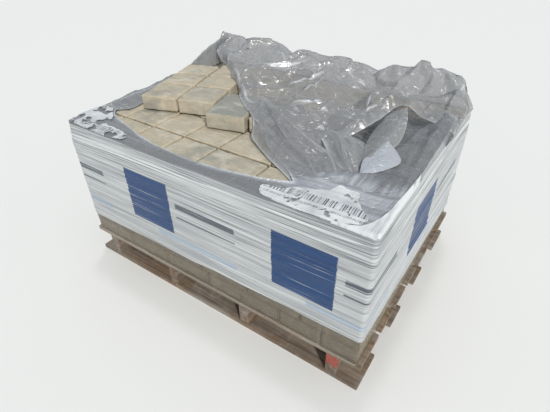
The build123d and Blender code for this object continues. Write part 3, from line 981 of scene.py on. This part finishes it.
# Torn top of the clear film. The rest of the tube's top, pushed back over the load and bunched
# along the back and the right in crisp, glossy crumples.
over_stones = 0.002
heap_front = smooth_line([
    (-past_x, 0.375), (-half_x, 0.378), (-0.45, 0.262), (-0.289, 0.131), (-0.182, 0.036),
    (-0.066, -0.072), (0.0, -0.12), (0.06, -0.155), (0.13, -0.16), (0.21, -0.155), (0.28, -0.125),
    (0.335, -0.06), (0.37, 0.02), (0.395, 0.12), (0.44, 0.15), (0.5, 0.13), (half_x, 0.1),
    (past_x, 0.09)], closed=False)
heap_outline = np.array([
    *heap_front, (past_x, half_y), (half_x, half_y), (half_x, past_y), (-half_x, past_y),
    (-half_x, half_y), (-past_x, half_y)])
x, y, faces, from_edge = cut_sheet(heap_outline, film_step)
heap_height = drawn_through([
    (-0.59, 0.38, 0.082), (-0.59, 0.42, 0.128), (-0.57, 0.445, 0.120), (-0.5, 0.4, 0.116),
    (-0.48, 0.447, 0.111), (-0.45, 0.265, 0.080), (-0.36, 0.33, 0.102), (-0.34, 0.447, 0.124),
    (-0.289, 0.135, 0.078), (-0.28, 0.43, 0.112), (-0.21, 0.447, 0.090), (-0.2, 0.37, 0.100),
    (-0.11, 0.28, 0.096), (-0.25, 0.29, 0.078), (-0.182, 0.04, 0.068), (-0.12, 0.447, 0.102),
    (-0.215, 0.142, 0.088), (-0.169, 0.198, 0.092), (-0.098, 0.282, 0.096), (-0.038, 0.376, 0.094),
    (-0.06, 0.447, 0.092), (-0.066, -0.07, 0.066), (-0.13, 0.07, 0.075), (-0.09, 0.17, 0.072),
    (0.006, 0.447, 0.101), (0.058, 0.425, 0.104), (0.0, -0.1, 0.066), (0.0, 0.04, 0.070),
    (-0.009, 0.139, 0.086), (0.014, 0.189, 0.090), (0.053, 0.299, 0.090), (0.09, 0.35, 0.074),
    (0.071, 0.237, 0.086), (0.094, 0.116, 0.084), (0.087, 0.03, 0.078), (0.114, -0.047, 0.072),
    (0.097, -0.1, 0.074), (0.134, -0.046, 0.078), (0.182, -0.012, 0.080), (0.263, 0.003, 0.078),
    (0.322, 0.012, 0.074), (0.32, 0.1, 0.082), (0.303, 0.211, 0.084), (0.15, 0.12, 0.055),
    (0.21, 0.14, 0.046), (0.22, 0.25, 0.052), (0.13, 0.26, 0.070), (0.14, 0.447, 0.092),
    (0.196, 0.447, 0.080), (0.26, 0.36, 0.066), (0.273, 0.447, 0.096), (0.13, -0.155, 0.050),
    (0.21, -0.14, 0.042), (0.3, -0.1, 0.044), (0.37, 0.02, 0.064), (0.395, 0.13, 0.070),
    (0.352, 0.447, 0.119), (0.37, 0.447, 0.138), (0.416, 0.447, 0.129), (0.492, 0.447, 0.101),
    (0.54, 0.44, 0.080), (0.559, 0.44, 0.050), (0.585, 0.43, 0.012), (0.42, 0.265, 0.066),
    (0.452, 0.37, 0.074), (0.50, 0.33, 0.070), (0.55, 0.3, 0.088), (0.54, 0.15, 0.066),
    (0.585, 0.3, 0.058), (0.585, 0.13, 0.05), (0.5, 0.16, 0.05), (0.44, 0.155, 0.075)])
fx, fy, down = fold_over_edges(x, y, top_gap + 0.0006)
height = creased(heap_height(fx, fy), fx, fy, (
    ([(-0.29, 0.44), (-0.2, 0.37), (-0.11, 0.28)], 0.012, 0.014),
    ([(-0.40, 0.44), (-0.37, 0.33), (-0.42, 0.27)], 0.008, 0.012),
    ([(-0.52, 0.36), (-0.42, 0.35), (-0.3, 0.33), (-0.22, 0.28)], -0.012, 0.03),
    ([(-0.225, 0.13), (-0.169, 0.198), (-0.098, 0.282), (-0.03, 0.385)], 0.014, 0.014),
    ([(-0.15, 0.10), (-0.08, 0.17), (-0.03, 0.27)], -0.014, 0.026),
    ([(-0.02, 0.11), (0.014, 0.189), (0.058, 0.31)], 0.010, 0.011),
    ([(0.055, 0.29), (0.085, 0.18), (0.085, 0.06), (0.115, -0.05)], 0.010, 0.013),
    ([(0.03, 0.0), (0.045, 0.09), (0.05, 0.18)], -0.008, 0.018),
    ([(0.09, -0.11), (0.134, -0.05), (0.19, -0.012), (0.263, 0.003), (0.325, 0.014)], 0.014, 0.016),
    ([(0.325, 0.014), (0.33, 0.1), (0.305, 0.21), (0.33, 0.33), (0.37, 0.44)], 0.014, 0.018),
    ([(0.12, 0.04), (0.19, 0.08), (0.24, 0.16), (0.24, 0.28)], -0.012, 0.03),
    ([(0.36, 0.117), (0.417, 0.265), (0.452, 0.39)], 0.012, 0.014),
    ([(0.39, 0.2), (0.40, 0.32), (0.42, 0.42)], -0.016, 0.02),
    ([(0.5, 0.12), (0.54, 0.2), (0.545, 0.34)], 0.010, 0.013),
    ([(-0.42, 0.36), (-0.36, 0.4), (-0.31, 0.447)], 0.014, 0.008),
    ([(-0.135, 0.02), (-0.09, 0.032), (-0.04, 0.048)], 0.016, 0.009),
    ([(-0.027, -0.039), (0.021, -0.065), (0.096, -0.104)], 0.014, 0.009),
    ([(0.24, -0.105), (0.3, -0.13), (0.35, -0.14)], 0.012, 0.008),
    ([(-0.1, 0.2), (-0.03, 0.24), (0.04, 0.22)], 0.014, 0.009),
    ([(0.0, 0.33), (0.06, 0.36), (0.11, 0.42)], 0.012, 0.008)))
busy = np.clip((fx + 0.45) / 0.35, 0.25, 1) * np.clip(from_edge / 0.02, 0.3, 1)
height += busy * (0.013 * facets(fx, fy, 0.095, 11, (1.5, 0.8), 0.7)
                  + 0.003 * facets(fx, fy, 0.034, 12, (1.6, 0.8), -0.4))
crumples = ((0.05, 0.39, 0.07), (0.33, 0.03, 0.06), (0.31, 0.16, 0.06), (-0.06, 0.02, 0.05),
            (0.14, -0.03, 0.06), (-0.56, 0.43, 0.05), (0.38, 0.42, 0.06))
crumpled = sum(np.exp(-((fx - a) ** 2 + (fy - b) ** 2) / size**2) for a, b, size in crumples)
height += np.clip(crumpled, 0, 1) * 0.009 * facets(fx, fy, 0.021, 13, (1.5, 0.8), 0.3)
# The front edge is rolled: a swell just behind it, and a hem turned down.
on_top = down <= 0
swell_rise, swell_at, swell_width = 0.012, 0.02, 0.014
hem_drop, hem_reach = 0.022, 0.007
height += swell_rise * np.exp(-(((from_edge - swell_at) / swell_width) ** 2)) * on_top * (fy < 0.3)
height -= hem_drop * np.exp(-from_edge / hem_reach) * on_top * (fx < 0.28)
head = np.maximum(load_top + height, stones_under(fx, fy) + over_stones)
z = head * (1 - down) + wall_foot * down
wall_bulge = 0.004 * arch(down) * (1 + field(fx * 9 + fy * 9, z * 4, 51))
fx = fx + np.where(np.abs(x) > half_x + top_gap, np.sign(x) * wall_bulge, 0)
fy = fy + np.where(np.abs(y) > half_y + top_gap, np.sign(y) * wall_bulge, 0)


def buckled(piece, growth, bending, held):
    """Points of a film piece after its sheet grows and buckles into folds where it is slack."""
    frames = 16
    hold = piece.vertex_groups.new(name="held")
    for share in np.unique(held):
        hold.add([int(index) for index in np.nonzero(held == share)[0]], float(share), "REPLACE")
    cloth = piece.modifiers.new("buckling", "CLOTH")
    settings = cloth.settings
    settings.quality = 5
    settings.mass = 0.1
    settings.air_damping = 3
    settings.tension_stiffness = settings.compression_stiffness = 30
    settings.shear_stiffness = 18
    settings.bending_stiffness = bending
    settings.vertex_group_mass = "held"
    settings.shrink_min = -growth
    settings.effector_weights.gravity = 0
    cloth.point_cache.frame_end = frames + 1
    scene = bpy.context.scene
    for moment in range(1, frames + 1):
        scene.frame_set(moment)
    shape = piece.evaluated_get(bpy.context.evaluated_depsgraph_get()).to_mesh()
    points = np.zeros(3 * len(shape.vertices), np.float32)
    shape.vertices.foreach_get("co", points)
    piece.modifiers.remove(cloth)
    piece.vertex_groups.remove(hold)
    scene.frame_set(1)
    return points.reshape(-1, 3).astype(float)


def even_border(points, faces, rounds=6):
    """Points of a sheet with the saw teeth taken out of its border."""
    seen = {}
    for face in faces:
        for a, b in zip(face, [*face[1:], face[0]]):
            seen[min(a, b), max(a, b)] = seen.get((min(a, b), max(a, b)), 0) + 1
    border = np.array([edge for edge, count in seen.items() if count == 1])
    for _ in range(rounds):
        total, near = np.zeros(points.shape), np.zeros(len(points))
        for a, b in (border.T, border.T[::-1]):
            np.add.at(total, a, points[b])
            np.add.at(near, a, 1)
        ends = near == 2
        points[ends] = points[ends] * 0.4 + total[ends] / 2 * 0.6
    return points


def film_buckled(x, y, z, down, faces, growth, bending, hold):
    """Places of a film sheet over the load after it has buckled, clear of the stones."""
    trial = new_piece("heap_trial", np.column_stack((x, y, z)), faces)
    held = np.round(np.where(down > 0.55, 1.0, hold), 2)
    points = even_border(buckled(trial, growth, bending, held), faces)
    bpy.data.objects.remove(trial)
    lowest = stones_under(points[:, 0], points[:, 1]) + over_stones
    points[:, 2] = np.where(down <= 0, np.maximum(points[:, 2], lowest), points[:, 2])
    return points.T


fx, fy, z = film_buckled(fx, fy, z, down, faces, growth=0.12, bending=5, hold=0.08)
# Painted highlights: pale lines along the longest folds.
highlight_lines = ([(-0.264, 0.409), (-0.178, 0.332), (-0.103, 0.269)],
                [(-0.23, 0.144), (-0.208, 0.167), (-0.121, 0.239), (-0.021, 0.347)],
                [(-0.013, 0.109), (0.019, 0.168), (0.058, 0.288)],
                [(0.079, 0.228), (0.083, 0.136), (0.083, 0.051)],
                [(0.102, -0.092), (0.143, -0.06), (0.182, -0.038), (0.207, -0.014)],
                [(0.376, 0.134), (0.353, 0.072), (0.336, 0.017)],
                [(-0.278, 0.121), (-0.208, 0.064), (-0.083, -0.051), (-0.033, -0.062)],
                [(0.319, 0.214), (0.317, 0.114), (0.334, 0.035)],
                [(0.527, 0.308), (0.545, 0.366), (0.548, 0.439)],
                [(0.076, 0.436), (0.12, 0.39), (0.165, 0.355)])
highlight_width = 0.0045
crease_highlight = np.zeros(len(fx))
for line in highlight_lines:
    gap, ends = beside_line(fx, fy, line, 0.2)
    crease_highlight = np.maximum(crease_highlight, ends * np.exp(-((gap / highlight_width) ** 2)))
bunched_and_painted_light = 0.7 * np.exp(-from_edge / 0.008) + 0.25 * ramp(fy, 0.2, 0.15)
# The bunched mark carries these painted highlights too.
bunched_and_painted_light = np.clip(np.maximum(bunched_and_painted_light, 1.1 * crease_highlight), 0, 1)
film_piece("torn_film_heap", fx, fy, z, faces, bunched_and_painted_light, "torn_film", clear_film, flat=(1.3, 0.66),
           held="gathered")

# Flaps of the torn top. Loose tongues of the same film: a fan hanging from the heap's front over
# the stones, a small tent beside it, a standing flap and a doubled piece lying flat.


def fan_shape(s, t):
    """Fan flap: a steep hem, a fold above it and long streaks from its gathered tip."""
    hem = [(-0.018, -0.047, 0.080), (0.0, -0.1, 0.064), (0.021, -0.145, 0.046), (0.049, -0.205, 0.018),
           (0.09, -0.236, 0.012), (0.124, -0.257, 0.009), (0.18, -0.29, 0.006), (0.226, -0.313, 0.004),
           (0.275, -0.34, 0.004), (0.318, -0.372, 0.002)]
    fold = [(-0.016, -0.049, 0.088), (0.012, -0.1, 0.080), (0.04, -0.14, 0.070), (0.073, -0.189, 0.058),
            (0.134, -0.25, 0.046), (0.192, -0.28, 0.030), (0.263, -0.314, 0.015), (0.332, -0.352, 0.004)]
    crest = [(-0.012, -0.05, 0.090), (0.096, -0.104, 0.074), (0.185, -0.15, 0.060), (0.268, -0.186, 0.046),
             (0.332, -0.203, 0.030), (0.404, -0.282, 0.013)]
    behind = [(-0.008, -0.045, 0.084), (0.11, -0.085, 0.046), (0.2, -0.12, 0.030), (0.285, -0.15, 0.020),
              (0.35, -0.17, 0.014), (0.412, -0.27, 0.010)]
    fold_at, crest_at = 0.15, 0.82
    x, y, rise = between_lines([hem, fold, crest, behind], (0.0, fold_at, crest_at, 1.0), s, t).T
    across = ramp(s, fold_at, crest_at - fold_at)
    open_part = arch(across) * np.clip(t * 3, 0, 1) * np.clip((1 - t) * 5 + 0.2, 0, 1)
    streak = ridge(field(s * 4.2, t * 0.5, 61) * 2.2, 1.3) + 0.3 * ridge(field(s * 10, t * 0.8, 62) * 1.8)
    z = load_top + rise + open_part * (0.016 * streak - 0.009) + 0.0015 * facets(x, y, 0.03, 8)
    z = np.maximum(z, stones_under(x, y, 0.012) + over_stones)
    pale = 0.8 * np.exp(-s / 0.03) + 0.35 * (s < fold_at) + 0.5 * np.exp(-(((s - crest_at) / 0.03) ** 2))
    return x, y, z, np.clip(pale + 0.2 * streak, 0, 1)


film_piece("torn_film_fan", *patch(90, 120, fan_shape), "torn_film", clear_film, flat=(0.22, 0.48),
           held="hung", area=0.09)


def tent_shape(s, t):
    """Small tent: a low fold of film between the fan and the standing flap."""
    left = [(0.25, -0.125, 0.046), (0.3, -0.168, 0.032), (0.336, -0.201, 0.020), (0.431, -0.258, 0.011)]
    peak = [(0.285, -0.109, 0.060), (0.331, -0.14, 0.052), (0.375, -0.19, 0.030), (0.436, -0.247, 0.013)]
    right = [(0.331, -0.094, 0.056), (0.383, -0.115, 0.040), (0.42, -0.17, 0.022), (0.442, -0.23, 0.013)]
    behind = [(0.325, -0.05, 0.030), (0.39, -0.07, 0.022), (0.43, -0.14, 0.016), (0.446, -0.22, 0.012)]
    x, y, rise = between_lines([left, peak, right, behind], (0.0, 0.35, 0.75, 1.0), s, t).T
    fold = ridge(field(s * 5, t * 0.6, 71) * 1.5, 1.2)
    z = load_top + rise + 0.013 * fold * arch(t) * arch(s)
    z += 0.0015 * facets(x, y, 0.025, 9)
    return x, y, z, np.clip(0.7 * np.exp(-s / 0.05) + 0.4 * fold, 0, 1)


film_piece("torn_film_tent", *patch(44, 50, tent_shape), "torn_film", clear_film, flat=(0.13, 0.22),
           held="draped", area=0.022)


def standing_shape(s, t):
    """Standing flap: a creased tongue that leans back on the right wall."""
    left = [(0.442, 0.114, 0.092), (0.403, 0.085, 0.070), (0.391, -0.006, 0.047), (0.401, -0.104, 0.034),
            (0.442, -0.227, 0.016)]
    middle = [(0.444, 0.112, 0.096), (0.438, 0.06, 0.076), (0.438, -0.01, 0.058), (0.43, -0.11, 0.040),
              (0.444, -0.224, 0.019)]
    right = [(0.446, 0.11, 0.092), (0.472, 0.042, 0.070), (0.481, -0.021, 0.042), (0.47, -0.08, 0.026),
             (0.448, -0.22, 0.016)]
    x, y, rise = between_lines([left, middle, right], (0.0, 0.5, 1.0), s, t).T
    fold = ridge(field(s * 2.2, t * 0.7, 81) * 1.4, 1.2)
    z = load_top + rise + 0.008 * fold * arch(t) * arch(s)
    z += 0.004 * facets(x, y, 0.05, 10) * arch(t)
    pale = 0.45 * np.exp(-np.minimum(s, 1 - s) / 0.04) + 0.2 * fold
    return x, y, z, np.clip(pale, 0, 1)


film_piece("torn_film_standing", *patch(34, 70, standing_shape), "torn_film", clear_film,
           flat=(0.09, 0.36), held="hung", area=0.028)


def doubled_shape(s, t):
    """Doubled piece, lying nearly flat by the standing flap."""
    left = [(0.443, -0.059, 0.040), (0.433, -0.137, 0.033), (0.428, -0.18, 0.029), (0.446, -0.241, 0.022)]
    right = [(0.456, -0.052, 0.042), (0.52, -0.125, 0.032), (0.505, -0.185, 0.028), (0.458, -0.241, 0.022)]
    x, y, rise = between_lines([left, right], (0.0, 1.0), s, t).T
    return x, y, load_top + rise + 0.004 * arch(s), np.full(len(s), 0.9)


doubled_film = clear_plastic("doubled clear film", tint(156, 161, 169), tint(172, 177, 185), 0.85, 0.1)
film_piece("torn_film_doubled", *patch(24, 44, doubled_shape), "torn_film", doubled_film,
           flat=(0.08, 0.2), held="folded", area=0.0115)

# Labels. Two sheets of white paper that rode on the film, torn, bare but for plain bars and rules:
# one by the near corner and the shreds of another round the left corner.
paper = Finish("torn label paper", Specular_IOR_Level=0.35)
paper_at = paper.place()
smudges = paper.noise(paper_at, 14.0, 4.0, 0.6)
fibres = paper.noise(paper_at, 260.0, 3.0, 0.7)
torn_off = paper.noise(paper_at, 38.0, 3.0, 0.6, 0.6)
label_turn, rules_per_metre, soft = -0.03, 52.0, 0.0008
label_at = paper.place(turn=(0, 0, label_turn))
ahead = paper.node("ShaderNodeSeparateXYZ", {0: label_at}, output=0)
aside = paper.node("ShaderNodeSeparateXYZ", {0: label_at}, output=1)
ruled = paper.sum("FRACT", paper.times(aside, rules_per_metre))
ruled = paper.times(paper.fade(ruled, 0.06, 0.03), paper.fade(torn_off, 0.56, 0.5))
paper_colour = paper.coats(tint(212, 215, 217),
                           (paper.fade(smudges, 0.4, 0.65, 0.0, 0.8), tint(172, 177, 182)),
                           (paper.fade(fibres, 0.56, 0.72, 0.0, 0.3), tint(168, 170, 172)),
                           (paper.times(ruled, 0.55), tint(84, 88, 94)))
for scale, low, high in ((210.0, -0.424, -0.396), (520.0, -0.443, -0.434)):
    bars_at = paper.node("ShaderNodeCombineXYZ", {0: paper.times(ahead, scale)})
    bars = paper.fade(paper.noise(bars_at, 1.0, 1.0), 0.5, 0.53)
    bars = paper.times(bars, paper.within(aside, low, high, soft),
                       paper.fade(torn_off, 0.6, 0.52, 0.2, 0.85))
    paper_colour = paper.mix(bars, paper_colour, tint(52, 54, 60))
paper.give(Base_Color=paper_colour, Roughness=0.5)
paper.give(Alpha=paper.times(paper.fade(torn_off, 0.68, 0.66), paper.mark("whole")))
paper_creases = paper.bump(smudges, 0.004, 0.5)
paper.give(Normal=paper.bump(torn_off, 0.0015, 0.5, under=paper_creases))


def height_over(piece, x, y, gap):
    """Height this far above a piece at each place over it."""
    skin = BVHTree.FromObject(piece, bpy.context.evaluated_depsgraph_get())
    heights = np.full(x.shape, load_top + gap)
    just_inside = 0.998
    for index, (a, b) in enumerate(zip(x * just_inside, y * just_inside)):
        hit = skin.ray_cast(Vector((a, b, 2.0)), Vector((0.0, 0.0, -1.0)))[0]
        if hit is not None:
            heights[index] = hit.z + gap
    return heights


def torn_label(name, marks, seed, shreds):
    """Torn sheet of paper laid on the top edge of the film, over the load's edge where it passes it."""
    outline = smooth_line(marks, 8)
    torn_x, torn_y = (field(outline[:, 0] * 60, outline[:, 1] * 60, seed + axis, 2) for axis in (0, 1))
    outline += 0.004 * np.column_stack((torn_x, torn_y))
    x, y, faces, _ = cut_sheet(outline, 0.003)
    fx, fy, down = fold_over_edges(x, y, top_gap + 0.0012)
    head = height_over(top_band, fx, fy, 0.002) + 0.0012 * (1 + field(fx * 30, fy * 30, seed + 5, 1))
    z = head * (1 - down) + wall_foot * down
    holes = field(x * 24, y * 24, seed + 9, 2)
    whole = ramp(shreds, holes, 0.06)
    label = new_piece(name, np.column_stack((fx, fy, z)), faces, {"whole": whole})
    paper.cover(label)


torn_label("bare_label_near_corner", [
    (0.241, -0.412), (0.258, -0.45), (0.311, -0.462), (0.385, -0.465), (0.461, -0.463), (0.495, -0.455),
    (0.537, -0.426), (0.544, -0.401), (0.501, -0.36), (0.485, -0.325), (0.45, -0.324), (0.427, -0.319),
    (0.406, -0.353), (0.332, -0.377), (0.293, -0.403)],
    seed=91, shreds=0.55)
torn_label("bare_label_left_corner", [
    (-0.567, -0.447), (-0.6, -0.42), (-0.612, -0.358), (-0.6, -0.29), (-0.565, -0.268), (-0.54, -0.29),
    (-0.515, -0.313), (-0.47, -0.352), (-0.451, -0.392), (-0.377, -0.4), (-0.316, -0.415), (-0.312, -0.446),
    (-0.369, -0.452), (-0.422, -0.466), (-0.524, -0.455)],
    seed=92, shreds=0.22)

# Lap of the stretch wrap. At the near corner its last turns ride up over the edge and lie on the
# top as a narrow white strip that runs out along the right side.
lap_start, lap_past = 0.47, 0.012
lap_inner = smooth_line([
    (lap_start, -0.453), (0.515, -0.447), (0.545, -0.428), (0.564, -0.398), (0.578, -0.355),
    (0.586, -0.3), (0.592, -0.2), (0.596, -0.1), (0.602, -0.02)], closed=False)
lap_outline = np.array([
    *lap_inner, (half_x + lap_past, -0.01), (half_x + lap_past, -half_y), (half_x, -half_y),
    (half_x, -half_y - lap_past), (lap_start, -half_y - lap_past)])
x, y, faces, _ = cut_sheet(lap_outline, 0.0035)
fx, fy, down = fold_over_edges(x, y, top_gap + 0.0024)
head = height_over(top_band, fx, fy, 0.0035)
head += 0.0015 * ridge(field(fx * 60, fy * 4, 95) * 1.5)
z = head * (1 - down) + wall_foot * down
lap = new_piece("white_wrap_corner_lap", np.column_stack((fx, fy, z)), faces)
lap_white = Finish("white film at the corner", IOR=1.45, Specular_IOR_Level=0.5, Roughness=0.42)
pulls = lap_white.noise(lap_white.place((90.0, 9.0, 40.0), (0.0, 0.0, 0.3)), 1.0, 3.0, 0.6)
lap_colour = lap_white.mix(lap_white.fade(pulls, 0.5, 0.7, 0.0, 0.7), tint(212, 216, 218),
                           tint(158, 163, 168))
lap_white.give(Base_Color=lap_colour, Normal=lap_white.bump(pulls, 0.002, 0.6))
lap_white.cover(lap)

# Floor, lights and camera. A plain pale floor, a broad sun from behind the camera's right, and a
# pale sky all round.
floor_mesh = bpy.data.meshes.new("floor")
floor_mesh.from_pydata([(-20, -20, 0), (20, -20, 0), (20, 20, 0), (-20, 20, 0)], [], [(0, 1, 2, 3)])
floor = bpy.data.objects.new("floor", floor_mesh)
bpy.context.scene.collection.objects.link(floor)
floor_paint = Finish("pale floor", Base_Color=tint(226, 226, 224), Roughness=0.9)
floor_paint.cover(floor)

world = bpy.data.worlds.new("pale sky")
world.use_nodes = True
background = world.node_tree.nodes["Background"]
background.inputs["Color"].default_value = (0.86, 0.93, 1.0, 1.0)
background.inputs["Strength"].default_value = 0.55
bpy.context.scene.world = world

for name, energy, breadth, colour, towards in (
        ("sun", 2.7, 5, (1.0, 0.965, 0.91), (0.64, -0.50, 0.62)),
        ("overhead", 0.35, 6, (1.0, 1.0, 1.0), (-0.1, 0.2, 0.97))):
    light = bpy.data.lights.new(name, "SUN")
    light.energy = energy
    light.angle = math.radians(breadth)
    light.color = colour
    lamp = bpy.data.objects.new(name, light)
    lamp.rotation_euler = Vector(towards).to_track_quat("Z", "Y").to_euler()
    bpy.context.scene.collection.objects.link(lamp)

camera_place = (0.7925, -1.1612, 1.2096)
camera_turn, camera_pitch, camera_roll = math.radians(34.36), math.radians(35.94), math.radians(-0.64)
camera_data = bpy.data.cameras.new("camera")
camera_data.lens = 26.595
camera_data.sensor_width = 36.0
camera = bpy.data.objects.new("camera", camera_data)
camera.matrix_world = (Matrix.Translation(camera_place) @ Matrix.Rotation(camera_turn, 4, "Z")
                       @ Matrix.Rotation(math.pi / 2 - camera_pitch, 4, "X")
                       @ Matrix.Rotation(camera_roll, 4, "Z"))
bpy.context.scene.collection.objects.link(camera)
bpy.context.scene.camera = camera
bpy.context.scene.view_settings.view_transform = "Standard"
